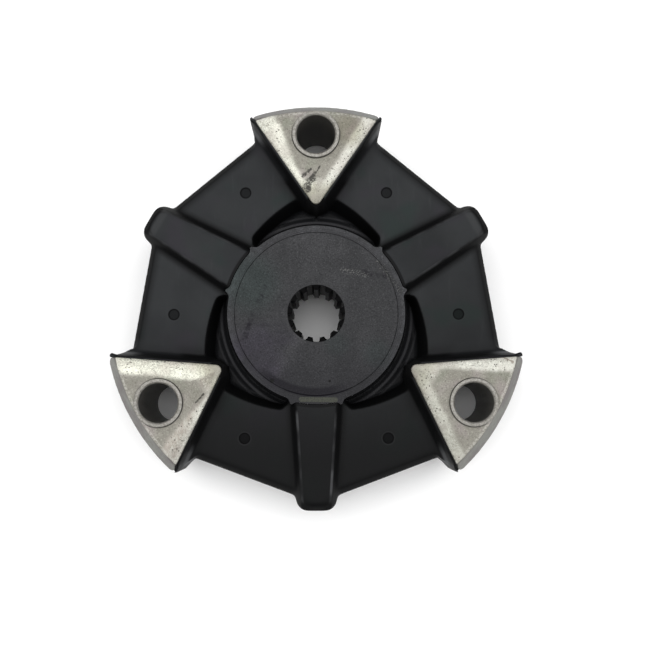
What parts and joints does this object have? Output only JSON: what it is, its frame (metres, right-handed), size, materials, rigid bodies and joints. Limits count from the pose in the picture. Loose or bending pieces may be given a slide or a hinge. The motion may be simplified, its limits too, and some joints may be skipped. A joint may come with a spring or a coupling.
{
  "type": "flexible rubber coupling",
  "caption": "Ring-shaped rubber shaft coupling with wedge inserts for axial bolts, ribs that hold radial screws, and a splined steel hub in the middle.",
  "frame": {"origin": "centre of the part, on its axis at the middle plane", "axes": "+Z along the shaft axis, out of the face that shows in the picture; +Y through the first wedge insert"},
  "size_m": [0.1636, 0.1608, 0.046],
  "materials": {
    "rubber": "satin black",
    "hub_steel": "dark phosphated steel",
    "cast_aluminium": "blasted casting",
    "sleeve_steel": "plain turned steel",
    "screw_steel": "black oxide"
  },
  "bodies": {
    "root": {"rubber_body": "rubber", "hub": "hub_steel", "axial_insert_1": "cast_aluminium", "axial_insert_2": "cast_aluminium", "axial_insert_3": "cast_aluminium", "axial_sleeve_1": "sleeve_steel", "axial_sleeve_2": "sleeve_steel", "axial_sleeve_3": "sleeve_steel", "radial_insert_1": "cast_aluminium", "radial_insert_2": "cast_aluminium", "radial_insert_3": "cast_aluminium", "radial_screw_1": "screw_steel", "radial_screw_2": "screw_steel", "radial_screw_3": "screw_steel"}
  },
  "joints": []
}
